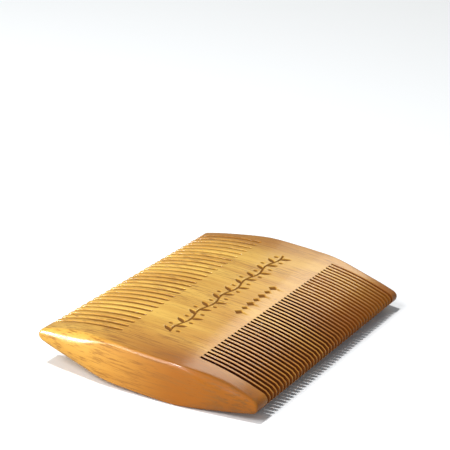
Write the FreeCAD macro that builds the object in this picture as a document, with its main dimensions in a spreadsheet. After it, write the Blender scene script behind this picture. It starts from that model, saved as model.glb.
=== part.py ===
import FreeCAD, Part
import math
import os
import Sketcher

# Double-sided wooden beard comb: one lens-shaped plank with a coarse and a fine row of teeth.
# The comb lies on its flat land. +X runs along the comb, +Y points at the coarse teeth, -Y at the
# fine teeth and +Z is up. The origin is under the middle of the comb, on the surface it rests on.

doc = FreeCAD.newDocument("beard_comb")

# Driving dimensions, in millimetres. Every size below is bound to these cells by its alias.
SIZES = [
    ("comb_length", 100.0, "end to end, measured on the centre line"),
    ("comb_width", 65.0, "coarse tips to fine tips"),
    ("comb_thickness", 11.6, "through the middle of the comb"),
    ("land_width", 12.0, "flat strip along the middle of each face"),
    ("tip_radius", 2.0, "rounding of the long edges, in section"),
    ("end_sagitta", 2.8, "how far each end bows outwards"),
    ("end_edge_radius", 1.1, "rounding of the edges of both ends"),
    ("near_guard", 9.0, "solid end before the first gap, -X end"),
    ("far_guard_least", 6.5, "least solid end after the last gap, +X end"),
    ("coarse_root", 11.2, "centre line to the bottom of the coarse gaps"),
    ("coarse_pitch", 3.2, "least spacing of the coarse teeth"),
    ("coarse_gap", 1.2, "coarse gap at its bottom"),
    ("coarse_tip_gap", 1.7, "coarse gap at its mouth"),
    ("fine_root", 12.0, "centre line to the bottom of the fine gaps"),
    ("fine_pitch", 1.94, "least spacing of the fine teeth"),
    ("fine_gap", 1.0, "fine gap at its bottom"),
    ("fine_tip_gap", 1.24, "fine gap at its mouth"),
]

sheet = doc.addObject("Spreadsheet::Sheet", "Dimensions")
for row, (alias, value, meaning) in enumerate(SIZES, start=1):
    sheet.set(f"A{row}", meaning)
    sheet.set(f"B{row}", str(value))
    sheet.setAlias(f"B{row}", alias)
doc.recompute()


def size(alias):
    """The value of one cell, for placing a sketch's points near their solved places."""
    return float(sheet.get(alias))


# Formulas that several features share.
END_RADIUS = (
    "(Dimensions.end_sagitta ^ 2 + (Dimensions.comb_width / 2) ^ 2) / (2 * Dimensions.end_sagitta)"
)
NEAR_WALL_X = "(Dimensions.near_guard - Dimensions.comb_length / 2)"


def row_formulas(row):
    """Tooth count, true pitch and first tooth's place of one row, as formulas on the sheet.

    The span between the guards is shared by a whole number of teeth, so that both rows end at
    the same two guards: teeth and gaps alternate, with one gap more than teeth.
    """
    gap = f"Dimensions.{row}_gap"
    span = (
        "(Dimensions.comb_length - Dimensions.near_guard - Dimensions.far_guard_least"
        f" - {gap})"
    )
    count = f"floor({span} / Dimensions.{row}_pitch)"
    pitch = f"({span} / {count})"
    return {
        "gap": gap,
        "count": count,
        "pitch": pitch,
        "centre": f"({NEAR_WALL_X} + ({pitch} + {gap}) / 2)",
    }


def number(formula):
    """The value of a formula on the sheet, in millimetres or as a plain number."""
    result = sheet.evalExpression(formula)
    return float(getattr(result, "Value", result))


def origin_plane(body, role):
    """One of the body's own origin planes or axes, such as XY_Plane."""
    return next(f for f in body.Origin.OriginFeatures if f.Role == role)


def new_body(name):
    body = doc.addObject("PartDesign::Body", name)
    body.Label = name
    return body


def new_sketch(body, name, role):
    sketch = body.newObject("Sketcher::SketchObject", name)
    sketch.AttachmentSupport = [(origin_plane(body, role), "")]
    sketch.MapMode = "FlatFace"
    return sketch


def point(x, y):
    return FreeCAD.Vector(x, y, 0)


def line(x1, y1, x2, y2):
    return Part.LineSegment(point(x1, y1), point(x2, y2))


def arc(x, y, radius, start_deg, end_deg):
    """Counter-clockwise arc about (x, y)."""
    circle = Part.Circle(point(x, y), FreeCAD.Vector(0, 0, 1), radius)
    return Part.ArcOfCircle(circle, math.radians(start_deg), math.radians(end_deg))


START, END, CENTRE = 1, 2, 3  # the sketcher's numbers for the points of a line or an arc
X_AXIS, Y_AXIS = -1, -2  # and for a sketch's own axes; (X_AXIS, START) is its origin


def constrain(sketch, kind, *args):
    return sketch.addConstraint(Sketcher.Constraint(kind, *args))


def dimension(sketch, name, formula, kind, *args):
    """A named dimension of a sketch, bound to a formula on the sheet."""
    index = sketch.addConstraint(Sketcher.Constraint(kind, *args, number(formula)))
    sketch.renameConstraint(index, name)
    sketch.setExpression(f"Constraints.{name}", formula)


def draw_section(body):
    """The lens section: two flat lands, four flank arcs and a round edge at each side.

    Each flank is one arc, tangent to the land and to the round of the edge.
    """
    half_land = size("land_width") / 2
    half_thick = size("comb_thickness") / 2
    tip = size("tip_radius")
    tip_x = size("comb_width") / 2 - tip
    run = tip_x - half_land
    flank = (run**2 + half_thick**2 - tip**2) / (2 * (half_thick - tip))
    lean = math.degrees(math.atan2(run, flank - half_thick))
    low = half_thick - flank
    sketch = new_sketch(body, "section", "YZ_Plane")
    sketch.addGeometry(
        [
            line(half_land, half_thick, -half_land, half_thick),
            arc(-half_land, low, flank, 90, 90 + lean),
            arc(-tip_x, 0, tip, 90 + lean, 270 - lean),
            arc(-half_land, -low, flank, 270 - lean, 270),
            line(-half_land, -half_thick, half_land, -half_thick),
            arc(half_land, -low, flank, 270, 270 + lean),
            arc(tip_x, 0, tip, -90 + lean, 90 - lean),
            arc(half_land, low, flank, 90 - lean, 90),
        ],
        False,
    )
    top, left_tip, bottom, right_tip = 0, 2, 4, 6
    edges = 8
    for edge in range(edges):
        constrain(sketch, "Tangent", edge, END, (edge + 1) % edges, START)
    constrain(sketch, "Symmetric", top, START, top, END, Y_AXIS)
    constrain(sketch, "Symmetric", bottom, START, bottom, END, Y_AXIS)
    constrain(sketch, "Equal", top, bottom)
    constrain(sketch, "Equal", left_tip, right_tip)
    constrain(sketch, "PointOnObject", left_tip, CENTRE, X_AXIS)
    constrain(sketch, "PointOnObject", right_tip, CENTRE, X_AXIS)
    half = "Dimensions.comb_thickness / 2"
    tip_place = "Dimensions.comb_width / 2 - Dimensions.tip_radius"
    origin = (X_AXIS, START)
    dimension(sketch, "land", "Dimensions.land_width", "DistanceX", top, END, top, START)
    dimension(sketch, "top_height", half, "DistanceY", *origin, top, START)
    dimension(sketch, "bottom_depth", half, "DistanceY", bottom, START, *origin)
    dimension(sketch, "edge_round", "Dimensions.tip_radius", "Radius", right_tip)
    dimension(sketch, "right_tip", tip_place, "DistanceX", *origin, right_tip, CENTRE)
    dimension(sketch, "left_tip", tip_place, "DistanceX", left_tip, CENTRE, *origin)
    return sketch


def draw_end_waste(body, side):
    """The waste outside one bowed end: an arc through the end's middle, closed by a box."""
    margin = 5.0
    reach = size("comb_length") / 2 + margin
    breadth = size("comb_width") / 2 + margin
    radius = number(END_RADIUS)
    centre_x = size("comb_length") / 2 - radius
    lean = math.degrees(math.asin(breadth / radius))
    arc_x = centre_x + radius * math.cos(math.radians(lean))
    sketch = new_sketch(body, "far_end_waste" if side > 0 else "near_end_waste", "XY_Plane")
    first, last = (-lean, lean) if side > 0 else (180 - lean, 180 + lean)
    sketch.addGeometry(
        [
            arc(side * centre_x, 0, radius, first, last),
            line(side * arc_x, side * breadth, side * reach, side * breadth),
            line(side * reach, side * breadth, side * reach, -side * breadth),
            line(side * reach, -side * breadth, side * arc_x, -side * breadth),
        ],
        False,
    )
    bow, outer, back, inner = 0, 1, 2, 3
    for edge, following in ((bow, outer), (outer, back), (back, inner), (inner, bow)):
        constrain(sketch, "Coincident", edge, END, following, START)
    for edge in (outer, inner):
        constrain(sketch, "Horizontal", edge)
    constrain(sketch, "Symmetric", back, START, back, END, X_AXIS)
    constrain(sketch, "PointOnObject", bow, CENTRE, X_AXIS)
    origin = (X_AXIS, START)
    middle = (bow, CENTRE)
    corner = (back, START)
    span_x = (*middle, *origin) if side > 0 else (*origin, *middle)
    box_x = (*origin, *corner) if side > 0 else (*corner, *origin)
    box_y = (*origin, *corner) if side > 0 else (*corner, *origin)
    dimension(sketch, "bow_radius", END_RADIUS, "Radius", bow)
    bow_place = f"{END_RADIUS} - Dimensions.comb_length / 2"
    dimension(sketch, "bow_place", bow_place, "DistanceX", *span_x)
    box_end = f"Dimensions.comb_length / 2 + {margin}"
    box_side = f"Dimensions.comb_width / 2 + {margin}"
    dimension(sketch, "box_end", box_end, "DistanceX", *box_x)
    dimension(sketch, "box_side", box_side, "DistanceY", *box_y)
    return sketch


# A point this close to the end face, in millimetres, counts as lying on it.
ON_FACE = 1e-4


def end_edges(shape):
    """Names of the edges that lie on either bowed end face."""
    radius = number(END_RADIUS)
    centre_x = size("comb_length") / 2 - radius
    found = []
    for index, edge in enumerate(shape.Edges, start=1):
        first, last = edge.ParameterRange
        samples = [edge.valueAt(first + share * (last - first)) for share in (0.0, 0.5, 1.0)]
        for side in (-1, 1):
            off = [math.hypot(p.x - side * centre_x, p.y) - radius for p in samples]
            if max(abs(miss) for miss in off) < ON_FACE:
                found.append(f"Edge{index}")
    return found


def make_blank():
    """The plank before its gaps are sawn: the section along X, bowed ends, rounded edges."""
    body = new_body("blank")
    pad = body.newObject("PartDesign::Pad", "plank")
    pad.Profile = draw_section(body)
    pad.SideType = "Symmetric"
    pad.setExpression("Length", "Dimensions.comb_length")
    doc.recompute()
    before = body.Shape.Volume
    for side in (-1, 1):
        pocket = body.newObject("PartDesign::Pocket", "far_bow" if side > 0 else "near_bow")
        pocket.Profile = draw_end_waste(body, side)
        pocket.SideType = "Symmetric"
        pocket.setExpression("Length", "2 * Dimensions.comb_thickness")
        doc.recompute()
        if body.Shape.Volume >= before:
            raise RuntimeError(f"{pocket.Name} cuts nothing")
        before = body.Shape.Volume
    rounding = body.newObject("PartDesign::Fillet", "end_rounding")
    rounding.Base = (pocket, end_edges(pocket.Shape))
    rounding.setExpression("Radius", "Dimensions.end_edge_radius")
    body.setExpression("Placement.Base.z", "Dimensions.comb_thickness / 2")
    doc.recompute()
    return body


def draw_tooth(body, row, side):
    """The plan of a row's first tooth: a slender wedge from the spine to a round tip."""
    formulas = row_formulas(row)
    root_half = (number(formulas["pitch"]) - size(f"{row}_gap")) / 2
    tip_half = (number(formulas["pitch"]) - size(f"{row}_tip_gap")) / 2
    centre = number(formulas["centre"])
    root_y = side * size(f"{row}_root")
    round_y = side * (size("comb_width") / 2 - tip_half)
    first, last = (0, 180) if side > 0 else (180, 360)
    sketch = new_sketch(body, f"{row}_tooth_plan", "XY_Plane")
    sketch.addGeometry(
        [
            line(centre - side * root_half, root_y, centre + side * root_half, root_y),
            line(centre + side * root_half, root_y, centre + side * tip_half, round_y),
            arc(centre, round_y, tip_half, first, last),
            line(centre - side * tip_half, round_y, centre - side * root_half, root_y),
        ],
        False,
    )
    foot, flank, tip, other_flank = 0, 1, 2, 3
    for edge, following in ((foot, flank), (flank, tip), (tip, other_flank), (other_flank, foot)):
        constrain(sketch, "Coincident", edge, END, following, START)
    constrain(sketch, "Horizontal", foot)
    constrain(sketch, "Horizontal", tip, START, tip, CENTRE)
    constrain(sketch, "Horizontal", tip, CENTRE, tip, END)
    origin = (X_AXIS, START)
    low, high = (START, END) if side > 0 else (END, START)
    root_width = f"{formulas['pitch']} - {formulas['gap']}"
    tip_round = f"({formulas['pitch']} - Dimensions.{row}_tip_gap) / 2"
    tip_place = f"Dimensions.comb_width / 2 - {tip_round}"
    foot_place = f"-({formulas['centre']}) + ({root_width}) / 2"
    root_y_args = (*origin, foot, START) if side > 0 else (foot, START, *origin)
    tip_y_args = (*origin, tip, CENTRE) if side > 0 else (tip, CENTRE, *origin)
    dimension(sketch, "foot_width", root_width, "DistanceX", foot, low, foot, high)
    dimension(sketch, "foot_place", foot_place, "DistanceX", foot, low, *origin)
    centre_place = f"-({formulas['centre']})"
    dimension(sketch, "tip_place_x", centre_place, "DistanceX", tip, CENTRE, *origin)
    dimension(sketch, "root_line", f"Dimensions.{row}_root", "DistanceY", *root_y_args)
    dimension(sketch, "tip_round", tip_round, "Radius", tip)
    dimension(sketch, "tip_place_y", tip_place, "DistanceY", *tip_y_args)
    return sketch


def make_tooth_pattern(row, side):
    """Square-sided posts, one for each tooth of a row, as tall as the comb is thick."""
    formulas = row_formulas(row)
    body = new_body(f"{row}_tooth_posts")
    body.AllowCompound = True
    pad = body.newObject("PartDesign::Pad", f"{row}_post")
    pad.Profile = draw_tooth(body, row, side)
    pad.setExpression("Length", "Dimensions.comb_thickness")
    doc.recompute()
    pattern = body.newObject("PartDesign::LinearPattern", f"{row}_posts")
    pattern.Originals = [pad]
    pattern.Direction = (origin_plane(body, "X_Axis"), [""])
    pattern.Mode = "Spacing"
    pattern.setExpression("Offset", formulas["pitch"])
    pattern.setExpression("Occurrences", formulas["count"])
    body.Tip = pattern
    doc.recompute()
    return body


def make_region(name, x, length, y, width):
    """A box as tall as the comb; x, y are formulas of its low corner."""
    box = doc.addObject("Part::Box", name)
    box.setExpression("Length", length)
    box.setExpression("Width", width)
    box.setExpression("Height", "Dimensions.comb_thickness")
    box.setExpression("Placement.Base.x", x)
    box.setExpression("Placement.Base.y", y)
    return box


def make_node(name, region, blank):
    """One sub-part: the stretch of the blank that lies inside a region."""
    common = doc.addObject("Part::Common", name)
    common.Label = name
    common.Base = blank
    common.Tool = region
    return common


HALF_LENGTH = "Dimensions.comb_length / 2"
HALF_WIDTH = "Dimensions.comb_width / 2"
BETWEEN_GUARDS = (
    "(Dimensions.comb_length - Dimensions.near_guard - Dimensions.far_guard_least)"
)

blank = make_blank()
regions = {
    "near_end_guard": make_region(
        "near_region",
        x=f"-{HALF_LENGTH}",
        length="Dimensions.near_guard",
        y=f"-{HALF_WIDTH}",
        width="Dimensions.comb_width",
    ),
    "far_end_guard": make_region(
        "far_region",
        x=f"{HALF_LENGTH} - Dimensions.far_guard_least",
        length="Dimensions.far_guard_least",
        y=f"-{HALF_WIDTH}",
        width="Dimensions.comb_width",
    ),
    "spine": make_region(
        "spine_region",
        x=NEAR_WALL_X,
        length=BETWEEN_GUARDS,
        y="-Dimensions.fine_root",
        width="Dimensions.fine_root + Dimensions.coarse_root",
    ),
    "coarse_teeth": make_tooth_pattern("coarse", side=1),
    "fine_teeth": make_tooth_pattern("fine", side=-1),
}
nodes = [make_node(name, region, blank) for name, region in regions.items()]
doc.recompute()

for item in doc.Objects:
    if "Invalid" in item.State or "Error" in item.State:
        raise RuntimeError(f"{item.Name} failed: {item.State}")
for node in nodes:
    if node.Shape.isNull() or not node.Shape.isValid() or not node.Shape.Solids:
        raise RuntimeError(f"{node.Label} has no valid solid")
for row in ("coarse", "fine"):
    teeth = doc.getObject(f"{row}_teeth").Shape.Solids
    wanted = round(number(row_formulas(row)["count"]))
    if len(teeth) != wanted:
        raise RuntimeError(f"{row} row has {len(teeth)} teeth, not {wanted}")

os.makedirs("parts", exist_ok=True)
for node in nodes:
    node.Shape.exportStep(f"parts/{node.Label}.step")
    box = node.Shape.BoundBox
    print(
        f"{node.Label}: {len(node.Shape.Solids)} solid(s), {node.Shape.Volume:.1f} mm3,"
        f" x {box.XMin:.2f}..{box.XMax:.2f}, y {box.YMin:.2f}..{box.YMax:.2f},"
        f" z {box.ZMin:.2f}..{box.ZMax:.2f}"
    )
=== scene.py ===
# %% [markdown]
# # A double-sided wooden beard comb
# The comb is one piece of dense, oily wood: a plank with a lens-shaped section, sawn along one
# edge into coarse teeth and along the other into fine teeth. Here the plank's regions are kept as
# separate pieces that meet exactly, so that each can be found and repainted: a spine, two end
# guards and two rows of teeth. The first cell loads the measured frame that they all fit.

# %% Load the frame
import math

import bmesh
import bpy
import numpy as np
from mathutils import Matrix, Vector


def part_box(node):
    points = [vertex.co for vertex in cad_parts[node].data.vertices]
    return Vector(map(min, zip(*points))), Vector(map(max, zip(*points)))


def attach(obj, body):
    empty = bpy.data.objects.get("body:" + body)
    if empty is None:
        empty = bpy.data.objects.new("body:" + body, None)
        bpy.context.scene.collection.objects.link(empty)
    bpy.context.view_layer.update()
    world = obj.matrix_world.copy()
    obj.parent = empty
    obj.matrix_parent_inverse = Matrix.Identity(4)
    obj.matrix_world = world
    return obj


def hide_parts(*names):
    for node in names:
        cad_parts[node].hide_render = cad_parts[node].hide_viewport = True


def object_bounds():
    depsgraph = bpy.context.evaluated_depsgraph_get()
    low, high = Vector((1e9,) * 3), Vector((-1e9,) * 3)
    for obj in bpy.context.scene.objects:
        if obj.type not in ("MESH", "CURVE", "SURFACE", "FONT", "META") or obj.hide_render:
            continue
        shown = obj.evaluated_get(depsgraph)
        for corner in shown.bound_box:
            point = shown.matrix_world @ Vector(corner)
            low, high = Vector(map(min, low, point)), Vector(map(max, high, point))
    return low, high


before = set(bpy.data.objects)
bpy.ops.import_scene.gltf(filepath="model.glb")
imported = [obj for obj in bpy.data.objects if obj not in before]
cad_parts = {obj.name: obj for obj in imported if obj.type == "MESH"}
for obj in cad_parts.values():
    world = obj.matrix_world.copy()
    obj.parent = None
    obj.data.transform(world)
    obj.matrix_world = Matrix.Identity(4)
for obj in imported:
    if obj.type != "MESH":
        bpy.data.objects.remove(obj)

CAD_LOW, CAD_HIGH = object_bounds()
BOX = {node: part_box(node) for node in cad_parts}
print("pieces of the frame:", sorted(BOX))

# %% [markdown]
# ## Sizes
# Everything is in metres. The walls, root lines, ends and thickness come from the frame. What the
# frame's boxes can't say, such as the radius of the long edges or the width of a gap, is named here
# in millimetres, as it would be on the maker's drawing. A row of teeth has the side it is on, its
# root line, its number of teeth, the width of a gap at the root and at the mouth, the radius of the
# teeth's rubbed edges, the radius of the hollow at the root, and how much paler the gap walls'
# painted dark, for the saw's heat and for shade, is at the tip.

# %% Sizes
MM = 0.001
NEAR_END, FAR_END = CAD_LOW.x, CAD_HIGH.x
HALF_WIDTH = BOX["near_end_guard"][1].y
THICK = BOX["spine"][1].z
HALF_THICK = THICK / 2
NEAR_WALL, FAR_WALL = BOX["spine"][0].x, BOX["spine"][1].x
FINE_ROOT, COARSE_ROOT = BOX["spine"][0].y, BOX["spine"][1].y

HALF_LAND = 6.0 * MM
LONG_EDGE = 2.0 * MM
BOW = 2.8 * MM

TEETH = {
    "coarse_teeth": {
        "side": 1, "root": COARSE_ROOT, "count": 26, "gap": 1.2 * MM, "mouth": 1.7 * MM,
        "round": 0.34 * MM, "gullet": 0.6 * MM, "pales": 0.6,
    },
    "fine_teeth": {
        "side": -1, "root": FINE_ROOT, "count": 43, "gap": 1.0 * MM, "mouth": 1.24 * MM,
        "round": 0.15 * MM, "gullet": 0.12 * MM, "pales": 0.3,
    },
}
for row in TEETH.values():
    row["pitch"] = (FAR_WALL - NEAR_WALL - row["gap"]) / row["count"]
    print(f"{row['count']} teeth, one every {row['pitch'] / MM:.3f} mm")

# %% [markdown]
# ## The lens section
# Each face has a flat land along the middle, and one large arc runs from the land to the rounded
# long edge, tangent to both. The arc's radius follows from the width, the thickness and the two
# neighbours, so the section is a formula with no drawn points. It is also given as a lean angle,
# because rounding an edge means moving a point against the surface's own normal.

# %% The lens section
EDGE_CENTRE = HALF_WIDTH - LONG_EDGE
RUN = EDGE_CENTRE - HALF_LAND
FLANK = (RUN**2 + HALF_THICK**2 - LONG_EDGE**2) / (2 * (HALF_THICK - LONG_EDGE))
FLANK_END = HALF_LAND + FLANK * RUN / math.hypot(RUN, FLANK - HALF_THICK)


def half_height(y):
    """Half the thickness at y: the land, then an arc of radius FLANK, then the edge's circle."""
    out = np.abs(y)
    flank = HALF_THICK - FLANK + np.sqrt(np.maximum(FLANK**2 - (out - HALF_LAND) ** 2, 0))
    edge = np.sqrt(np.maximum(LONG_EDGE**2 - (out - EDGE_CENTRE) ** 2, 0))
    curved = np.where(out <= FLANK_END, flank, edge)
    return np.where(out <= HALF_LAND, HALF_THICK, curved)


def lean(y):
    """Sine of the surface's tilt at y: distance from the arc's centre over the arc's radius."""
    out = np.abs(y)
    flank = np.clip((out - HALF_LAND) / FLANK, 0, 1)
    edge = np.clip((out - EDGE_CENTRE) / LONG_EDGE, 0, 1)
    return np.sign(y) * np.where(out <= FLANK_END, flank, edge)


print(f"flank radius {FLANK / MM:.1f} mm, reaching {FLANK_END / MM:.2f} mm from the middle")

# %% [markdown]
# ## Where the gap walls are painted dark, for saw heat and for shade
# The walls of the gaps are painted dark: partly for the brown that a saw's heat leaves in a narrow
# gap, partly as painted shade, since a deep, narrow gap takes in little light. How dark a point is
# painted goes from 0 to 1. The wide coarse gaps are painted paler than the fine ones, and the
# darkening weakens towards the far end. An S-curve keeps such a change gradual, and the same curve
# serves the shapes further on.

# %% Where the gap walls are painted dark, for saw heat and for shade
# How dark the gap walls are painted, for the saw's heat and as painted shade.
COARSE_BURN_AND_SHADE = 0.4
BURN_AND_SHADE_LOST = 0.6
WEAKENS_FROM, WEAKENS_OVER = -4 * MM, 40 * MM


def smooth(value):
    """0 below 0, 1 above 1 and an S-curve between them: 3v squared minus 2v cubed."""
    v = np.clip(value, 0, 1)
    return v * v * (3 - 2 * v)


def burn_and_shade_at(x):
    """How dark the gap walls are painted at x, for the saw's heat and as shade: 1, less a share
    once it has weakened.
    """
    return 1 - BURN_AND_SHADE_LOST * smooth((x - WEAKENS_FROM) / WEAKENS_OVER)


near_burn_and_shade, far_burn_and_shade = burn_and_shade_at(NEAR_WALL), burn_and_shade_at(FAR_WALL)
print(f"scorch {near_burn_and_shade:.2f} at the near wall, {far_burn_and_shade:.2f} at the far wall")

# %% [markdown]
# ## From arrays to a mesh
# Every piece is a grid of points worked out as one array. The helper below joins the grid's rows
# with quads, closes its two ends, welds points that fall together at a pole or a seam, and turns
# the faces outwards. Edges sharper than the angle given stay crisp and the rest shade smoothly.
# A value for each point, such as how dark it is painted for the saw's heat and for shade, travels
# with the mesh as an attribute.

# %% From arrays to a mesh
WELD = 1e-7
CRISP = math.radians(38)


def grid_faces(rows, columns):
    """Quads between neighbouring rows, with the last column joined back to the first."""
    index = np.arange(rows * columns).reshape(rows, columns)
    following = np.roll(index, -1, axis=1)
    quads = np.stack([index[:-1], following[:-1], following[1:], index[1:]], axis=-1)
    return quads.reshape(-1, 4)


def build_piece(name, grids, values):
    """One mesh from closed tubes, given as tubes by rows by columns by 3; values lack the 3."""
    count, rows, columns = grids.shape[:3]
    quads = grid_faces(rows, columns)
    offsets = np.arange(count)[:, None, None] * rows * columns
    faces = (quads[None] + offsets).reshape(-1, 4).tolist()
    first = np.arange(columns)
    last = first + (rows - 1) * columns
    for start in range(0, count * rows * columns, rows * columns):
        faces.append((first[::-1] + start).tolist())
        faces.append((last + start).tolist())
    mesh = bpy.data.meshes.new(name)
    mesh.from_pydata(grids.reshape(-1, 3).tolist(), [], faces)
    for key, value in values.items():
        layer = mesh.attributes.new(key, "FLOAT", "POINT")
        layer.data.foreach_set("value", np.ascontiguousarray(value, np.float32).ravel())
    work = bmesh.new()
    work.from_mesh(mesh)
    bmesh.ops.remove_doubles(work, verts=work.verts, dist=WELD)
    bmesh.ops.dissolve_degenerate(work, edges=work.edges, dist=WELD)
    bmesh.ops.recalc_face_normals(work, faces=work.faces)
    open_edges = sum(not edge.is_manifold for edge in work.edges)
    work.to_mesh(mesh)
    work.free()
    mesh.shade_smooth()
    mesh.set_sharp_from_angle(angle=CRISP)
    piece = bpy.data.objects.new(name, mesh)
    bpy.context.scene.collection.objects.link(piece)
    triangles = sum(len(face.vertices) - 2 for face in mesh.polygons)
    print(f"{name}: {triangles} triangles, {open_edges} open edges")
    return piece


print(f"points within {WELD} m are welded, edges over {math.degrees(CRISP):.0f} degrees crisp")

# %% [markdown]
# ## The end guards
# Each guard is the solid end of the plank. It carries the section along X, ends in a face that bows
# outwards on a large arc, and has its edges rubbed round: only about a millimetre in the middle,
# more towards the corners, where hands and a pouch wear it. The surface is a closed loop of the
# section carried through stations: wall, edge round, straight run, end round and end face, each
# station given by how far it is moved in against the normal and how far along X it lies. The wall
# and the end face are closed by stations whose height shrinks to nothing.

# %% The end guards
AROUND = 120
ROUND_STEPS, STRAIGHT_STEPS, END_STEPS = 4, 7, 11
WALL_SHRINKS, FACE_SHRINKS = (0.0, 0.5, 0.9), (0.85, 0.6, 0.3, 0.0)
AFTER_ROUND = 0.004
WALL_ROUND = 0.2 * MM
ROOT_STEP = 0.15 * MM
SAWN_OVER = 0.8 * MM
EDGE_ROUND = 0.75 * MM
CORNER_ROUND = 0.4 * MM
FULL_DEPTH, FULL_REACH, DEPTH_LIMIT = 0.9, 0.55, 0.97
ROUND_FROM, ROUND_TO = 9 * MM, 25 * MM
END_CROWN = 0.5 * MM
BOW_RADIUS = (BOW**2 + HALF_WIDTH**2) / (2 * BOW)


def section_loop():
    """The section as one loop: y, z and the sine of the lean, with points crowded at the tips."""
    sweep = np.linspace(-math.pi / 2, math.pi / 2, AROUND)
    at_roots = [FINE_ROOT, FINE_ROOT - ROOT_STEP, COARSE_ROOT, COARSE_ROOT + ROOT_STEP]
    y = np.sort(np.concatenate([HALF_WIDTH * np.sin(sweep), at_roots]))
    z = half_height(y)
    back = slice(-2, 0, -1)
    loop_y = np.concatenate([y, y[back]])
    loop_z = np.concatenate([z, -z[back]])
    return loop_y, loop_z, lean(loop_y)


def quarter(steps):
    """Angles of a quarter turn, from 0 to a right angle."""
    return np.linspace(0, math.pi / 2, steps)


def bowed(y):
    """How far the bowed end reaches along X at y: a circle of radius BOW_RADIUS."""
    return (FAR_END - NEAR_END) / 2 - BOW_RADIUS + np.sqrt(BOW_RADIUS**2 - y**2)


def guard_grid(side):
    """Stations of one guard. A station is the section loop, drawn in and set at an x outwards.

    Where the end turns over, y moves in by CORNER_ROUND and z by `depth`, both times 1 - cos(turn),
    while x runs out over `reach` as sin(turn). Depth and reach grow towards the corners, where the
    end is rubbed to a full round.
    """
    y, z, tilt = section_loop()
    upright = np.sqrt(1 - tilt**2) * np.sign(z)
    tall = np.abs(z)
    inner = FAR_WALL if side > 0 else NEAR_WALL
    gullet = TEETH["coarse_teeth"]["gullet"]
    past_root = np.clip(y - COARSE_ROOT, 0, gullet)
    hollow = np.sqrt(np.maximum(gullet**2 - (gullet - past_root) ** 2, 0)) - gullet
    wall = side * inner + np.where(y > COARSE_ROOT, hollow, 0)
    sawn = smooth(np.maximum(y - COARSE_ROOT, FINE_ROOT - y) / SAWN_OVER)
    # Painted dark on the gap walls, for the saw's heat and as painted shade: paler on the coarse
    # side, fading out over the wall's round.
    wall_burn_and_shade = sawn * np.where(y < 0, 1.0, COARSE_BURN_AND_SHADE) * burn_and_shade_at(inner)
    rubbed = smooth((np.abs(y) - ROUND_FROM) / (ROUND_TO - ROUND_FROM))
    depth = EDGE_ROUND + (FULL_DEPTH * tall - EDGE_ROUND) * rubbed
    depth = np.minimum(depth, DEPTH_LIMIT * tall)
    reach = np.maximum(EDGE_ROUND + (FULL_REACH * tall - EDGE_ROUND) * rubbed, CORNER_ROUND)
    wall_round = WALL_ROUND * sawn
    stations, burn_and_shade = [], []

    def station(x, at_y, at_z, painted_dark=0):
        stations.append(np.stack([side * x, at_y, at_z + HALF_THICK], axis=-1))
        burn_and_shade.append(painted_dark + 0 * at_y)

    for shrink in WALL_SHRINKS:
        station(wall, y - wall_round * tilt, (z - wall_round * upright) * shrink, wall_burn_and_shade)
    for turn in quarter(ROUND_STEPS):
        inset = wall_round * (1 - np.sin(turn))
        painted_dark = wall_burn_and_shade * (1 - turn / (math.pi / 2))
        x = wall + wall_round * (1 - np.cos(turn))
        station(x, y - inset * tilt, z - inset * upright, painted_dark)
    crown = END_CROWN * (z / HALF_THICK) ** 2
    start, end = wall + wall_round, bowed(y) - reach - crown
    for share in (AFTER_ROUND, *np.linspace(0, 1, STRAIGHT_STEPS)[1:-1]):
        station(start + share * (end - start), y, z)
    for turn in quarter(END_STEPS):
        drawn = 1 - np.cos(turn)
        in_y = y - CORNER_ROUND * tilt * drawn
        in_z = z - np.sign(z) * depth * drawn
        crown = END_CROWN * (in_z / HALF_THICK) ** 2
        station(bowed(in_y) - reach * (1 - np.sin(turn)) - crown, in_y, in_z)
    for shrink in FACE_SHRINKS:
        flat_z = in_z * shrink
        station(bowed(in_y) - END_CROWN * (flat_z / HALF_THICK) ** 2, in_y, flat_z)
    return np.stack(stations)[None], np.stack(burn_and_shade)[None]


guards = {}
for name, side in (("near_end_guard", -1), ("far_end_guard", 1)):
    points, burn_and_shade = guard_grid(side)
    guards[name] = build_piece(f"{name}_wood", points, {"burn_and_shade": burn_and_shade, "engraved": 0 * burn_and_shade})

# %% [markdown]
# ## The teeth
# A tooth is a slender wedge with a rounded-rectangle section, as tall as the lens is thick at that
# point. It narrows a little from root to tip, its long edges are rubbed round, its tip is a half
# circle seen from above, and a small hollow curve at the root meets its neighbour's, which is what
# the saw leaves. All the teeth of a row are one array: tooth by station by point of the section.
# No two teeth of a hand-finished comb are alike, so each drifts and slims by a random hair.

# %% The teeth
ARC_POINTS = 5
GULLET_STEPS, WEDGE_STEPS, TIP_STEPS = 6, 18, 9
SUPPORT = 0.03 * MM
ROUND_GROWS_IN, ROUND_LIMIT = 0.9 * MM, 0.95
DRIFT = 0.02 * MM
SLIMMED, SLIMS_IN = 0.03, 2 * MM
TIP_CLEAN, TIP_LOST = 0.6 * MM, 0.6
CREEP_ROOT, CREEP_TIP = 3, 1


def tooth_stations(row):
    """Distance from the root and half width, station by station, out to the tip's half circle."""
    length = HALF_WIDTH - abs(row["root"])
    root_half = (row["pitch"] - row["gap"]) / 2
    tip_half = (row["pitch"] - row["mouth"]) / 2
    gullet = row["gullet"]
    curve = gullet * (1 - np.cos(quarter(GULLET_STEPS)))
    straight = np.linspace(gullet, length - tip_half, WEDGE_STEPS)[1:]
    turn = quarter(TIP_STEPS)[1:]
    out = np.concatenate([curve, straight, length - tip_half + tip_half * np.sin(turn)])
    taper = root_half + (tip_half - root_half) * np.clip(out / (length - tip_half), 0, 1)
    flare = gullet - np.sqrt(np.maximum(gullet**2 - (gullet - np.minimum(out, gullet)) ** 2, 0))
    half = taper + flare
    half[-len(turn):] = tip_half * np.cos(turn)
    return out, half


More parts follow.
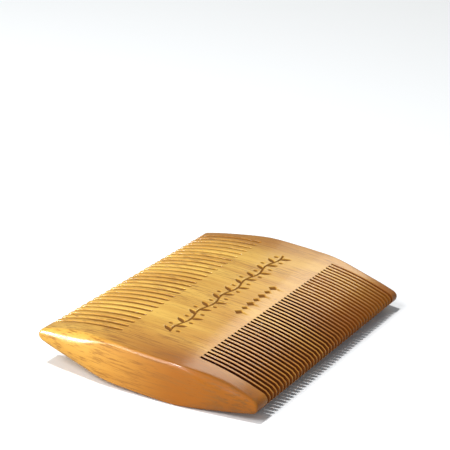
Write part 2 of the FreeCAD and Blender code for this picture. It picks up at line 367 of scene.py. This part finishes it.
def rounded_section():
    """A rounded rectangle's loop: corner signs, arc directions, support slips and share of side.

    Each corner is a quarter circle. A support point just past both its ends keeps the flats flat:
    it slips along X on the top and along Z on a side. The share of side is the direction's cosine
    squared, 1 on a side and 0 on the top.
    """
    corners = []
    for start, (sign_x, sign_z) in zip((0, 90, 180, 270), ((1, 1), (-1, 1), (-1, -1), (1, -1))):
        angle = np.radians(start + np.linspace(0, 90, ARC_POINTS))
        padded = np.concatenate([angle[:1], angle, angle[-1:]])
        slip = np.zeros(len(padded))
        slip[[0, -1]] = 1
        along, upward = np.cos(padded), np.sin(padded)
        corners.append(np.stack([
            np.full(len(padded), sign_x), np.full(len(padded), sign_z), along, upward,
            slip * (np.abs(upward) > 0.5), slip * (np.abs(along) > 0.5), along**2,
        ]))
    return np.concatenate(corners, axis=1)


def row_points(row, seed):
    """All teeth of a row as one array, each tooth a hair different from the next."""
    rng = np.random.default_rng(seed)
    out, half = tooth_stations(row)
    sign_x, sign_z, unit_x, unit_z, slip_x, slip_z, _ = rounded_section()
    number = np.arange(row["count"])
    centre = NEAR_WALL + row["gap"] + (row["pitch"] - row["gap"]) / 2 + number * row["pitch"]
    centre = centre + rng.normal(0, DRIFT, row["count"])
    slimmer = rng.random((row["count"], 1, 1))
    slim = 1 - SLIMMED * slimmer * smooth(out / SLIMS_IN)[None, :, None]
    y = row["root"] + row["side"] * out
    tall = half_height(y)[None, :, None] * np.ones((row["count"], 1, 1))
    wide = half[None, :, None] * slim
    radius = row["round"] * smooth(out / ROUND_GROWS_IN)[None, :, None]
    radius = np.minimum(radius, ROUND_LIMIT * np.minimum(wide, tall))
    slip = np.minimum(SUPPORT, 0.5 * (np.minimum(wide, tall) - radius))
    x = centre[:, None, None] + sign_x * (wide - radius - slip * slip_x) + radius * unit_x
    z = sign_z * (tall - radius - slip * slip_z) + radius * unit_z
    return np.stack([x, y[None, :, None] + 0 * x, z + HALF_THICK], axis=-1)


def row_burn_and_shade(row, x):
    """How dark a row's tooth sides are painted, for the saw's heat and as painted shade: the share
    of side, raised to a power that falls from root to tip.

    A high power keeps the paint off the rubbed edges near the root. It is paler towards the tip,
    and the last stretch, TIP_CLEAN long, is paler still.
    """
    out = tooth_stations(row)[0]
    side_share = rounded_section()[-1]
    outward = smooth(out / out[-1])
    tip_fade = 1 - TIP_LOST * smooth((out - out[-1] + TIP_CLEAN) / TIP_CLEAN)
    creep = CREEP_ROOT + (CREEP_TIP - CREEP_ROOT) * outward
    burnt_and_shaded = side_share ** creep[:, None] * (tip_fade * (1 - row["pales"] * outward))[:, None]
    strongest = 1.0 if row["side"] < 0 else COARSE_BURN_AND_SHADE
    return strongest * burnt_and_shaded[None] * burn_and_shade_at(x)


rows = {}
for seed, (name, row) in enumerate(TEETH.items()):
    points = row_points(row, seed)
    burn_and_shade = row_burn_and_shade(row, points[..., 0])
    rows[name] = build_piece(f"{name}_wood", points, {"burn_and_shade": burn_and_shade, "engraved": 0 * burn_and_shade})

# %% [markdown]
# ## The ornament
# The spine carries a shallow engraving: a running vine with pointed leaves and berries, and a row
# of small lozenges below it. A shape is drawn as its distance to every point of the surface at
# once. A groove's wall is half way down at half a stroke from the shape. Working with distances
# gives soft groove walls of any width, and the shapes can be joined by taking the nearest.

# %% The ornament
STROKE = 0.5 * MM
GROOVE_EDGE = 1.5
VINE_FROM, VINE_TO = -32.5 * MM, 37.5 * MM
VINE_Y, VINE_SWING, VINE_WAVE = 1.4 * MM, 0.55 * MM, 14.0 * MM
LEAF_STEP, FIRST_LEAF = VINE_WAVE / 4, 0.1
LEAF_COUNT = int((VINE_TO - VINE_FROM) / LEAF_STEP)
LEAF_LONG, LEAF_WIDE, LEAF_OPEN = 3.1 * MM, 0.95 * MM, math.radians(52)
BERRY_OUT, BERRY_ALONG, BERRY = 1.8 * MM, 1.0 * MM, 0.32 * MM
LOZENGE_Y, LOZENGE_FROM, LOZENGE_STEP, LOZENGE_COUNT = -6.9 * MM, -8.3 * MM, 3.6 * MM, 7
LOZENGE_LONG, LOZENGE_TALL = 1.1 * MM, 0.95 * MM
SMALL_LOZENGE, LOZENGE_SLOPE = 0.7, 0.75


def leaf_distance(x, y, base_x, base_y, turn):
    """Distance to a leaf, 0 inside it: where two equal circles overlap, pointed at both ends."""
    along = (x - base_x) * math.cos(turn) + (y - base_y) * math.sin(turn) - LEAF_LONG / 2
    across = np.abs(-(x - base_x) * math.sin(turn) + (y - base_y) * math.cos(turn))
    shift = (LEAF_LONG**2 - LEAF_WIDE**2) / (4 * LEAF_WIDE)
    outside = np.maximum(np.hypot(along, across + shift) - shift - LEAF_WIDE / 2, 0)
    tip = np.hypot(np.abs(along) - LEAF_LONG / 2, across)
    return np.where(np.abs(along) > LEAF_LONG / 2, tip, outside)


def vine_y(x):
    """The stem's wave: a sine about a line along the spine."""
    return VINE_Y + VINE_SWING * np.sin(2 * math.pi * (x - VINE_FROM) / VINE_WAVE)


def ornament_distance(x, y):
    """Distance from every point to the nearest line of the vine, leaf, berry or lozenge."""
    inside = np.clip(x, VINE_FROM, VINE_TO)
    steepest = VINE_SWING * 2 * math.pi / VINE_WAVE
    slope = steepest * np.cos(2 * math.pi * (inside - VINE_FROM) / VINE_WAVE)
    nearest = np.hypot((y - vine_y(inside)) / np.sqrt(1 + slope**2), x - inside)
    for k in range(LEAF_COUNT):
        base = VINE_FROM + (k + FIRST_LEAF) * LEAF_STEP
        up = 1 if k % 2 == 0 else -1
        leaf = leaf_distance(x, y, base, vine_y(base), up * LEAF_OPEN)
        berry = np.hypot(x - base - BERRY_ALONG, y - vine_y(base) + up * BERRY_OUT) - BERRY
        nearest = np.minimum(nearest, np.minimum(leaf, np.maximum(berry, 0)))
    for k in range(LOZENGE_COUNT):
        centre = LOZENGE_FROM + k * LOZENGE_STEP
        size = SMALL_LOZENGE if k % 2 else 1.0
        edge = np.abs(x - centre) / LOZENGE_LONG + np.abs(y - LOZENGE_Y) / LOZENGE_TALL - size
        nearest = np.minimum(nearest, np.maximum(edge, 0) * LOZENGE_TALL * LOZENGE_SLOPE)
    return nearest


def engraved(x, y):
    """1 in the bottom of a groove and 0 on the untouched wood, with a short slope between."""
    return smooth(GROOVE_EDGE - ornament_distance(x, y) / (0.5 * STROKE))


print(f"a vine with {LEAF_COUNT} leaves and as many berries, and {LOZENGE_COUNT} lozenges")

# %% [markdown]
# ## The spine
# The spine is the bar between the roots. Its loop runs over the top face, down the coarse gaps' end
# wall, back under the bottom and up the fine gaps' end wall, and it is carried along X. The top has
# close rows and columns only where the engraving is, and the engraving lowers those points, so the
# grooves are real and catch the light.

# %% The spine
ENGRAVE_DEPTH = 0.24 * MM
CLOSE, OPEN = 0.17 * MM, 1.5 * MM
PAST_VINE, BELOW_LOZENGES, ABOVE_VINE = 2 * MM, 1.2 * MM, 4.2 * MM
UNDER_STEPS, WALL_STEPS = 16, 6


def graded(start, close_from, close_to, end):
    """Positions from start to end, CLOSE apart between the middle values and OPEN apart outside."""
    lead = max(2, round((close_from - start) / OPEN))
    middle = round((close_to - close_from) / CLOSE)
    tail = max(2, round((end - close_to) / OPEN))
    return np.concatenate([
        np.linspace(start, close_from, lead, endpoint=False),
        np.linspace(close_from, close_to, middle, endpoint=False),
        np.linspace(close_to, end, tail),
    ])


def spine_grid():
    """The section loop of the spine carried along X, with the grooves cut into the top."""
    x = graded(NEAR_WALL, VINE_FROM - PAST_VINE, VINE_TO + PAST_VINE, FAR_WALL)
    top_y = graded(FINE_ROOT, LOZENGE_Y - BELOW_LOZENGES, VINE_Y + ABOVE_VINE, COARSE_ROOT)
    under_y = np.linspace(COARSE_ROOT, FINE_ROOT, UNDER_STEPS)
    wall = np.linspace(1, -1, WALL_STEPS)[1:-1]
    coarse_wall = half_height(np.array([COARSE_ROOT])) * wall
    fine_wall = -half_height(np.array([FINE_ROOT])) * wall
    loop_y = np.concatenate([top_y, COARSE_ROOT + 0 * wall, under_y, FINE_ROOT + 0 * wall])
    loop_z = np.concatenate([half_height(top_y), coarse_wall, -half_height(under_y), fine_wall])
    on_top = np.zeros(len(loop_y))
    on_top[: len(top_y)] = 1
    grid_x, grid_y = np.meshgrid(x, loop_y, indexing="ij")
    groove = engraved(grid_x, grid_y) * on_top
    grid_z = loop_z[None, :] - ENGRAVE_DEPTH * groove
    # The fine gaps' end wall is painted dark, for the saw's heat and as painted shade.
    burn_and_shade = np.zeros(len(loop_y))
    burn_and_shade[-len(wall):] = 1
    points = np.stack([grid_x, grid_y, grid_z + HALF_THICK], axis=-1)
    return points[None], (burn_and_shade[None, :] * burn_and_shade_at(grid_x))[None], groove[None]


points, burn_and_shade, groove = spine_grid()
spine = build_piece("spine_wood", points, {"burn_and_shade": burn_and_shade, "engraved": groove})

# %% [markdown]
# ## Shader helpers
# A node tree is easier to read when each node is one call, so `node` makes a node, sets its plain
# values and joins its inputs. The helpers after it are the few kinds of node that the wood needs
# again and again: a smooth step, a sum or product of two values, and a mix of two colours.

# %% Shader helpers


def feed(tree, socket, value):
    """Give a socket its input: a link if the value is a node's output, else the plain value."""
    if isinstance(value, bpy.types.NodeSocket):
        tree.links.new(value, socket)
    else:
        socket.default_value = value


def node(tree, kind, settings=(), inputs=()):
    """A node of that kind, with its settings, and its inputs given as values or as sockets."""
    made = tree.nodes.new(kind)
    for key, value in dict(settings).items():
        setattr(made, key, value)
    for key, value in dict(inputs).items():
        feed(tree, made.inputs[key], value)
    return made


def ramp(tree, value, low, high, out_low=0.0, out_high=1.0):
    """A smooth step of a value, from out_low at low to out_high at high."""
    made = node(tree, "ShaderNodeMapRange", {"interpolation_type": "SMOOTHSTEP"}, {
        "Value": value, "From Min": low, "From Max": high, "To Min": out_low, "To Max": out_high,
    })
    return made.outputs["Result"]


def combine(tree, operation, first, second):
    """Two values joined by a Math node, such as their sum or the larger of them."""
    made = node(tree, "ShaderNodeMath", {"operation": operation})
    feed(tree, made.inputs[0], first)
    feed(tree, made.inputs[1], second)
    return made.outputs["Value"]


def product(tree, first, second):
    """Two values multiplied."""
    return combine(tree, "MULTIPLY", first, second)


def blended(tree, factor, first, second):
    """A colour mix. Its Mix node has sockets for every data type, and the colour ones are used."""
    mix = node(tree, "ShaderNodeMix", {"data_type": "RGBA"})
    colours = [socket for socket in mix.inputs if socket.type == "RGBA"]
    feed(tree, mix.inputs["Factor"], factor)
    feed(tree, colours[0], first)
    feed(tree, colours[1], second)
    return next(socket for socket in mix.outputs if socket.type == "RGBA")


# %% [markdown]
# ## Wood grain, as a group
# The grain runs along the teeth, which is what makes them strong. Five things are seen in it: broad
# bands of growth, thin darker streaks, a fine fibre that changes the gloss, pores, which are short
# dark dashes, and patches where the streaks are stronger. Each is noise on coordinates that are
# squeezed along the grain. An effect with a name of its own becomes a node group, whose sockets
# have names too.

# %% Wood grain, as a group


def stretched_noise(tree, place, stretch, detail, roughness, seed_offset, distortion=0.0):
    """Noise on coordinates scaled by `stretch`, per metre, so that it runs out along the grain."""
    mapped = node(tree, "ShaderNodeMapping", {}, {
        "Vector": place, "Scale": stretch, "Location": seed_offset,
    })
    made = node(tree, "ShaderNodeTexNoise", {}, {
        "Vector": mapped.outputs["Vector"], "Scale": 1.0, "Detail": detail,
        "Roughness": roughness, "Distortion": distortion,
    })
    return made.outputs["Fac"]


def grain_group():
    """The group: the five noises, and a smooth step on each of them but the fibre."""
    tree = bpy.data.node_groups.new("wood grain", "ShaderNodeTree")
    tree.interface.new_socket("Place", in_out="INPUT", socket_type="NodeSocketVector")
    for name in ("Bands", "Streaks", "Fibre", "Pores", "Patches"):
        tree.interface.new_socket(name, in_out="OUTPUT", socket_type="NodeSocketFloat")
    place = tree.nodes.new("NodeGroupInput").outputs["Place"]
    out = tree.nodes.new("NodeGroupOutput")
    bands = stretched_noise(tree, place, (210, 14, 160), 3.0, 0.5, (3.1, 0.4, 1.7), 0.5)
    streaks = stretched_noise(tree, place, (2100, 120, 2100), 5.0, 0.62, (7.7, 2.2, 5.1), 0.2)
    fibre = stretched_noise(tree, place, (4600, 170, 4600), 3.0, 0.65, (1.3, 8.2, 0.6))
    pores = stretched_noise(tree, place, (4200, 420, 4200), 1.0, 0.5, (5.9, 4.4, 9.2))
    patches = stretched_noise(tree, place, (60, 30, 60), 2.0, 0.5, (0.35, 6.1, 2.6), 0.3)
    for name, value in (
        ("Bands", ramp(tree, bands, 0.34, 0.66)),
        ("Streaks", ramp(tree, streaks, 0.47, 0.66)),
        ("Fibre", fibre),
        ("Pores", ramp(tree, pores, 0.66, 0.74)),
        ("Patches", ramp(tree, patches, 0.36, 0.66)),
    ):
        tree.links.new(value, out.inputs[name])
    return tree


GRAIN = grain_group()
outputs = [item.name for item in GRAIN.interface.items_tree if item.in_out == "OUTPUT"]
print("grain group outputs:", outputs)

# %% [markdown]
# ## The wood's colours
# The wood is golden along the coarse side and turns to a redder heartwood towards the fine side and
# the near end. Both ends are a deeper brown, and the near fine corner is browner still. The outer
# fine teeth are darker towards the far end and the tips: partly a dark heartwood, partly painted
# shade, as of the flank turning from the light and of the dark gaps between the teeth. It is weak
# at the near end, which catches a sheen. Each such zone is a smooth step along X times one along Y,
# so that no zone has a hard edge. A step is written as the two places it lies between, in
# millimetres, and its values there where they aren't 0 and 1.

# %% The wood's colours
GOLD = (0.78, 0.47, 0.085, 1)
HONEY = (0.62, 0.325, 0.048, 1)
HEART = (0.50, 0.205, 0.026, 1)
# Dark heartwood and painted shade, for the outer fine teeth.
DARK_HEART_AND_SHADE = (0.21, 0.052, 0.004, 1)
STREAK_BROWN = (0.26, 0.100, 0.014, 1)
DEEP = (0.31, 0.090, 0.002, 1)
CORNER_BROWN = (0.14, 0.045, 0.006, 1)
PORE_BROWN = (0.10, 0.032, 0.006, 1)
# The gap walls' painted dark, for the saw's heat and as painted shade: brown, redder on the fine
# side, near black where darkest.
SAWN_AND_SHADED_BROWN = (0.33, 0.135, 0.017, 1)
SAWN_AND_SHADED_RED = (0.19, 0.050, 0.005, 1)
SCORCHED_AND_SHADED = (0.022, 0.0025, 0.0008, 1)
BURNT = (0.14, 0.046, 0.009, 1)

TOWARD_FINE = (16, -24)
NEAR_HEART = {"x": (-26, -40), "y": (26, 8, 0.0, 0.6)}
OUTER_FINE = {"x": (-12, 20, 0.2, 0.75), "y": (-19, -32)}
NEAR_DEEP = {"x": (-34, -46), "y": (14, -12, 0.2, 0.95)}
FAR_DEEP = {"x": (26, 46), "y": (-10, 10, 0.1, 0.7)}
NEAR_FINE_CORNER = {"x": (-40, -48), "y": (-14, -27)}

PORES_SHOW, GROOVE_SHOWS = 0.4, 0.9
SAWN_BY, SCORCH_AND_SHADE_FROM, SCORCH_AND_SHADE_BY = 0.45, 0.42, 0.9


def step(tree, place, start, end, *values):
    """A smooth step of a coordinate between two places given in millimetres."""
    return ramp(tree, place, start * MM, end * MM, *values)


def zone(tree, axes, x, y):
    """How strongly a zone's colour shows: a smooth step along X times a smooth step along Y."""
    return product(tree, step(tree, axes["X"], *x), step(tree, axes["Y"], *y))


def ground_colour(tree, axes, grain):
    """The wood before the saw: bands, then heartwood, then the deeper zones, each over the last.
    The outer fine teeth's zone is partly painted shade.
    """
    colour = blended(tree, grain["Bands"], GOLD, HONEY)
    toward_fine = step(tree, axes["Y"], *TOWARD_FINE)
    redder = combine(tree, "MAXIMUM", toward_fine, zone(tree, axes, **NEAR_HEART))
    heart = product(tree, redder, ramp(tree, grain["Patches"], 0.0, 1.0, 0.6, 1.0))
    colour = blended(tree, heart, colour, HEART)
    # Outer fine teeth: darker heartwood with painted shade, weak at the near end.
    colour = blended(tree, zone(tree, axes, **OUTER_FINE), colour, DARK_HEART_AND_SHADE)
    deep = combine(tree, "MAXIMUM", zone(tree, axes, **NEAR_DEEP), zone(tree, axes, **FAR_DEEP))
    colour = blended(tree, deep, colour, DEEP)
    corner = zone(tree, axes, **NEAR_FINE_CORNER)
    corner = product(tree, corner, ramp(tree, grain["Streaks"], 0.0, 0.6, 0.25, 1.0))
    return blended(tree, corner, colour, CORNER_BROWN)


def wood_colour(tree, axes, grain, burn_and_shade, groove):
    """The ground colour with streaks, pores, the charred engraving and the gap walls over it, the
    walls painted dark for the saw's heat and as painted shade.
    """
    streaky = combine(tree, "MAXIMUM", grain["Patches"], step(tree, axes["X"], *NEAR_HEART["x"]))
    streak = product(tree, grain["Streaks"], ramp(tree, streaky, 0.0, 1.0, 0.2, 0.8))
    colour = blended(tree, streak, ground_colour(tree, axes, grain), STREAK_BROWN)
    colour = blended(tree, product(tree, grain["Pores"], PORES_SHOW), colour, PORE_BROWN)
    colour = blended(tree, product(tree, groove, GROOVE_SHOWS), colour, BURNT)
    # Gap walls: painted dark for the saw's heat and as painted shade.
    sawn = blended(tree, step(tree, axes["Y"], *TOWARD_FINE), SAWN_AND_SHADED_BROWN, SAWN_AND_SHADED_RED)
    colour = blended(tree, ramp(tree, burn_and_shade, 0.0, SAWN_BY), colour, sawn)
    return blended(tree, ramp(tree, burn_and_shade, SCORCH_AND_SHADE_FROM, SCORCH_AND_SHADE_BY), colour, SCORCHED_AND_SHADED)


print(f"the far end deepens over its last {FAR_END / MM - FAR_DEEP['x'][0]:.0f} mm")

# %% [markdown]
# ## Oiled wood
# Oil and wax bring up a satin gloss with a thin clear coat. Sawn and engraved wood is left dull and
# uncoated, and the fibre and the pores show as a very shallow relief. One material serves every
# piece, because every piece is cut from the same plank. Each piece takes it into its material slot,
# rides on the root body, and hides the node of the frame that it stands in for.

# %% Oiled wood
FIBRE_STEP, POLISHED, OPEN_FIBRE = (0.3, 0.7), 0.36, 0.50
DULL_ADDS = 0.35
WAX, WAX_GONE_BY, WAX_ROUGHNESS = 0.75, 0.6, 0.19
OIL_IOR, OIL_SHINE = 1.45, 0.1
FIBRE_LIFT, RELIEF_STRENGTH, RELIEF_DEPTH = 0.5, 0.2, 0.05 * MM


def oiled_wood():
    """The wood's material: its colour, its gloss and the relief of its fibre."""
    material = bpy.data.materials.new("oiled wood")
    material.use_nodes = True
    tree = material.node_tree
    tree.nodes.clear()
    place = node(tree, "ShaderNodeTexCoord").outputs["Object"]
    axes = node(tree, "ShaderNodeSeparateXYZ", {}, {"Vector": place}).outputs
    grain = node(tree, "ShaderNodeGroup", {"node_tree": GRAIN}, {"Place": place}).outputs
    burn_and_shade = node(tree, "ShaderNodeAttribute", {"attribute_name": "burn_and_shade"}).outputs["Fac"]
    groove = node(tree, "ShaderNodeAttribute", {"attribute_name": "engraved"}).outputs["Fac"]
    dull = combine(tree, "MAXIMUM", groove, burn_and_shade)
    rough = ramp(tree, grain["Fibre"], *FIBRE_STEP, POLISHED, OPEN_FIBRE)
    rough = combine(tree, "ADD", rough, product(tree, dull, DULL_ADDS))
    lift = combine(tree, "SUBTRACT", product(tree, grain["Fibre"], FIBRE_LIFT), grain["Pores"])
    relief = node(tree, "ShaderNodeBump", {}, {
        "Height": lift, "Strength": RELIEF_STRENGTH, "Distance": RELIEF_DEPTH,
    })
    shader = node(tree, "ShaderNodeBsdfPrincipled", {}, {
        "Base Color": wood_colour(tree, axes, grain, burn_and_shade, groove),
        "Roughness": rough, "Normal": relief.outputs["Normal"],
        "IOR": OIL_IOR, "Specular IOR Level": OIL_SHINE,
        "Coat Weight": ramp(tree, dull, 0.0, WAX_GONE_BY, WAX, 0.0),
        "Coat Roughness": WAX_ROUGHNESS, "Coat IOR": OIL_IOR,
    })
    surface = node(tree, "ShaderNodeOutputMaterial").inputs["Surface"]
    tree.links.new(shader.outputs["BSDF"], surface)
    return material


WOOD = oiled_wood()
pieces = {"spine": spine, **guards, **rows}
for cad_node, piece in pieces.items():
    piece.data.materials.append(WOOD)
    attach(piece, "root")
    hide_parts(cad_node)
print("pieces made:", [piece.name for piece in pieces.values()])

# %% [markdown]
# ## The table
# A comb with a rounded belly rocks when it is put down. Here it has come to rest leaning on its
# fine side, so the table is tilted under it by the same angle and touches the belly along one line.
# Where that line lies follows from the section: it is where the flank slopes as much as the table.
# The table is white to look at but darker in the comb's gloss, which keeps its reflection from
# washing out the wood near it. A real table doesn't do that: it is a choice for this view.

# %% The table
FLOOR_HALF = 3.0
ROCKED = math.radians(4.0)
TABLE_SEEN, TABLE_MIRRORED = (0.93, 0.935, 0.94, 1), (0.25, 0.25, 0.25, 1)
TABLE_ROUGHNESS = 0.9


def make_floor():
    """A square table top, tilted about X by ROCKED and tangent to the belly's flank."""
    touch_y = -HALF_LAND - FLANK * math.sin(ROCKED)
    touch_z = FLANK * (1 - math.cos(ROCKED))
    across = FLOOR_HALF * np.array([-1, 1, 1, -1])
    up = FLOOR_HALF * np.array([-1, -1, 1, 1])
    deep, high = touch_y + up * math.cos(ROCKED), touch_z - up * math.sin(ROCKED)
    corners = np.stack([across, deep, high], axis=-1)
    mesh = bpy.data.meshes.new("table")
    mesh.from_pydata(corners.tolist(), [], [(0, 1, 2, 3)])
    floor = bpy.data.objects.new("table", mesh)
    bpy.context.scene.collection.objects.link(floor)
    material = bpy.data.materials.new("pale table")
    material.use_nodes = True
    tree = material.node_tree
    shader = tree.nodes["Principled BSDF"]
    in_gloss = node(tree, "ShaderNodeLightPath").outputs["Is Glossy Ray"]
    tree.links.new(blended(tree, in_gloss, TABLE_SEEN, TABLE_MIRRORED), shader.inputs["Base Color"])
    shader.inputs["Roughness"].default_value = TABLE_ROUGHNESS
    shader.inputs["Specular IOR Level"].default_value = 0.0
    mesh.materials.append(material)
    print(f"the table touches the belly at y = {touch_y / MM:.1f} mm, {touch_z / MM:.2f} mm up")


make_floor()

# %% [markdown]
# ## The lights
# Five softboxes face the comb. A small, high key light on the coarse side throws the crisp shadow
# out on the fine side. A wide one over the near end fills the top and draws a line of gloss along
# the near edge, and a small one close by lights the near end's face. A warm one low behind the far
# end lays a sheen over the spine. The last, low beside the near coarse corner, is seen only in the
# polish, as a bright patch there. The pale blue sky colours the shadows.

# %% The lights
SKY, SKY_STRENGTH = (0.82, 0.92, 1, 1), 0.25
WARM = (1, 0.93, 0.78)


def make_softbox(name, azimuth, elevation, distance, size, power, gloss_only=False, tint=(1, 1, 1)):
    """An area light facing the comb, placed by its angle from X, its height angle and distance.

    With gloss_only it is seen in the polish but doesn't light the wood, so its power can be set by
    how bright the patch of gloss should be.
    """
    light = bpy.data.lights.new(name, "AREA")
    light.shape = "RECTANGLE"
    light.size, light.size_y = size
    light.energy, light.color = power, tint
    lamp = bpy.data.objects.new(name, light)
    around, above = math.radians(azimuth), math.radians(elevation)
    level = math.cos(above)
    away = Vector((level * math.cos(around), level * math.sin(around), math.sin(above)))
    lamp.location = away * distance
    lamp.rotation_euler = away.to_track_quat("Z", "Y").to_euler()
    lamp.visible_diffuse = not gloss_only
    bpy.context.scene.collection.objects.link(lamp)
    print(f"{name} light: {power} W, {distance} m off")


make_softbox("key", 139, 69, distance=1.2, size=(0.10, 0.10), power=10.0)
make_softbox("back", 14, 29.5, distance=1.0, size=(0.24, 0.28), power=0.80, tint=WARM)
make_softbox("side", 130, 4, distance=0.5, size=(0.12, 0.18), power=4.6, gloss_only=True)
make_softbox("rim", 158, 40, distance=1.0, size=(0.45, 0.35), power=6.0)
make_softbox("front", 157, 9, distance=0.35, size=(0.10, 0.08), power=0.41)
world = bpy.data.worlds.new("studio")
bpy.context.scene.world = world
world.use_nodes = True
world.node_tree.nodes["Background"].inputs["Color"].default_value = SKY
world.node_tree.nodes["Background"].inputs["Strength"].default_value = SKY_STRENGTH
bpy.context.scene.view_settings.view_transform = "Standard"

# %% [markdown]
# ## The camera
# A long lens stands half a metre off, low over the near end, and leans over by a few degrees. It is
# aimed above the comb, which so lies in the lower half of the view with white space over it.

# %% The camera
LENS, SENSOR = 142.92, 36
AZIMUTH, ELEVATION, ROLL = math.radians(-65.668), math.radians(20.961), math.radians(7.88)
DISTANCE = 0.499795
AIM_RIGHT, AIM_UP = -0.00074, 0.02495
CLIP_NEAR, CLIP_FAR = 0.01, 20


def make_camera():
    """Axes of the tilted camera from its three angles, then its place from distance and aim."""
    back = np.array([
        math.sin(AZIMUTH) * math.cos(ELEVATION),
        -math.cos(AZIMUTH) * math.cos(ELEVATION),
        math.sin(ELEVATION),
    ])
    level = np.array([math.cos(AZIMUTH), math.sin(AZIMUTH), 0])
    upright = np.cross(back, level)
    right = level * math.cos(ROLL) + upright * math.sin(ROLL)
    up = upright * math.cos(ROLL) - level * math.sin(ROLL)
    middle = np.array([0, 0, HALF_THICK])
    place = middle + back * DISTANCE + right * AIM_RIGHT + up * AIM_UP
    matrix = np.eye(4)
    matrix[:3, 0], matrix[:3, 1], matrix[:3, 2], matrix[:3, 3] = right, up, back, place
    camera = bpy.data.cameras.new("camera")
    camera.lens, camera.sensor_width = LENS, SENSOR
    camera.clip_start, camera.clip_end = CLIP_NEAR, CLIP_FAR
    holder = bpy.data.objects.new("camera", camera)
    holder.matrix_world = Matrix(matrix.tolist())
    bpy.context.scene.collection.objects.link(holder)
    bpy.context.scene.camera = holder
    print("the camera stands at", [round(v, 3) for v in place], "metres")


make_camera()

# %% [markdown]
# ## The finished size
# The pieces drawn here should fill the box of the measured frame and not pass it. The frame's box
# is printed in millimetres.

print("frame box", [round(v / MM, 2) for v in (*CAD_LOW, *CAD_HIGH)])
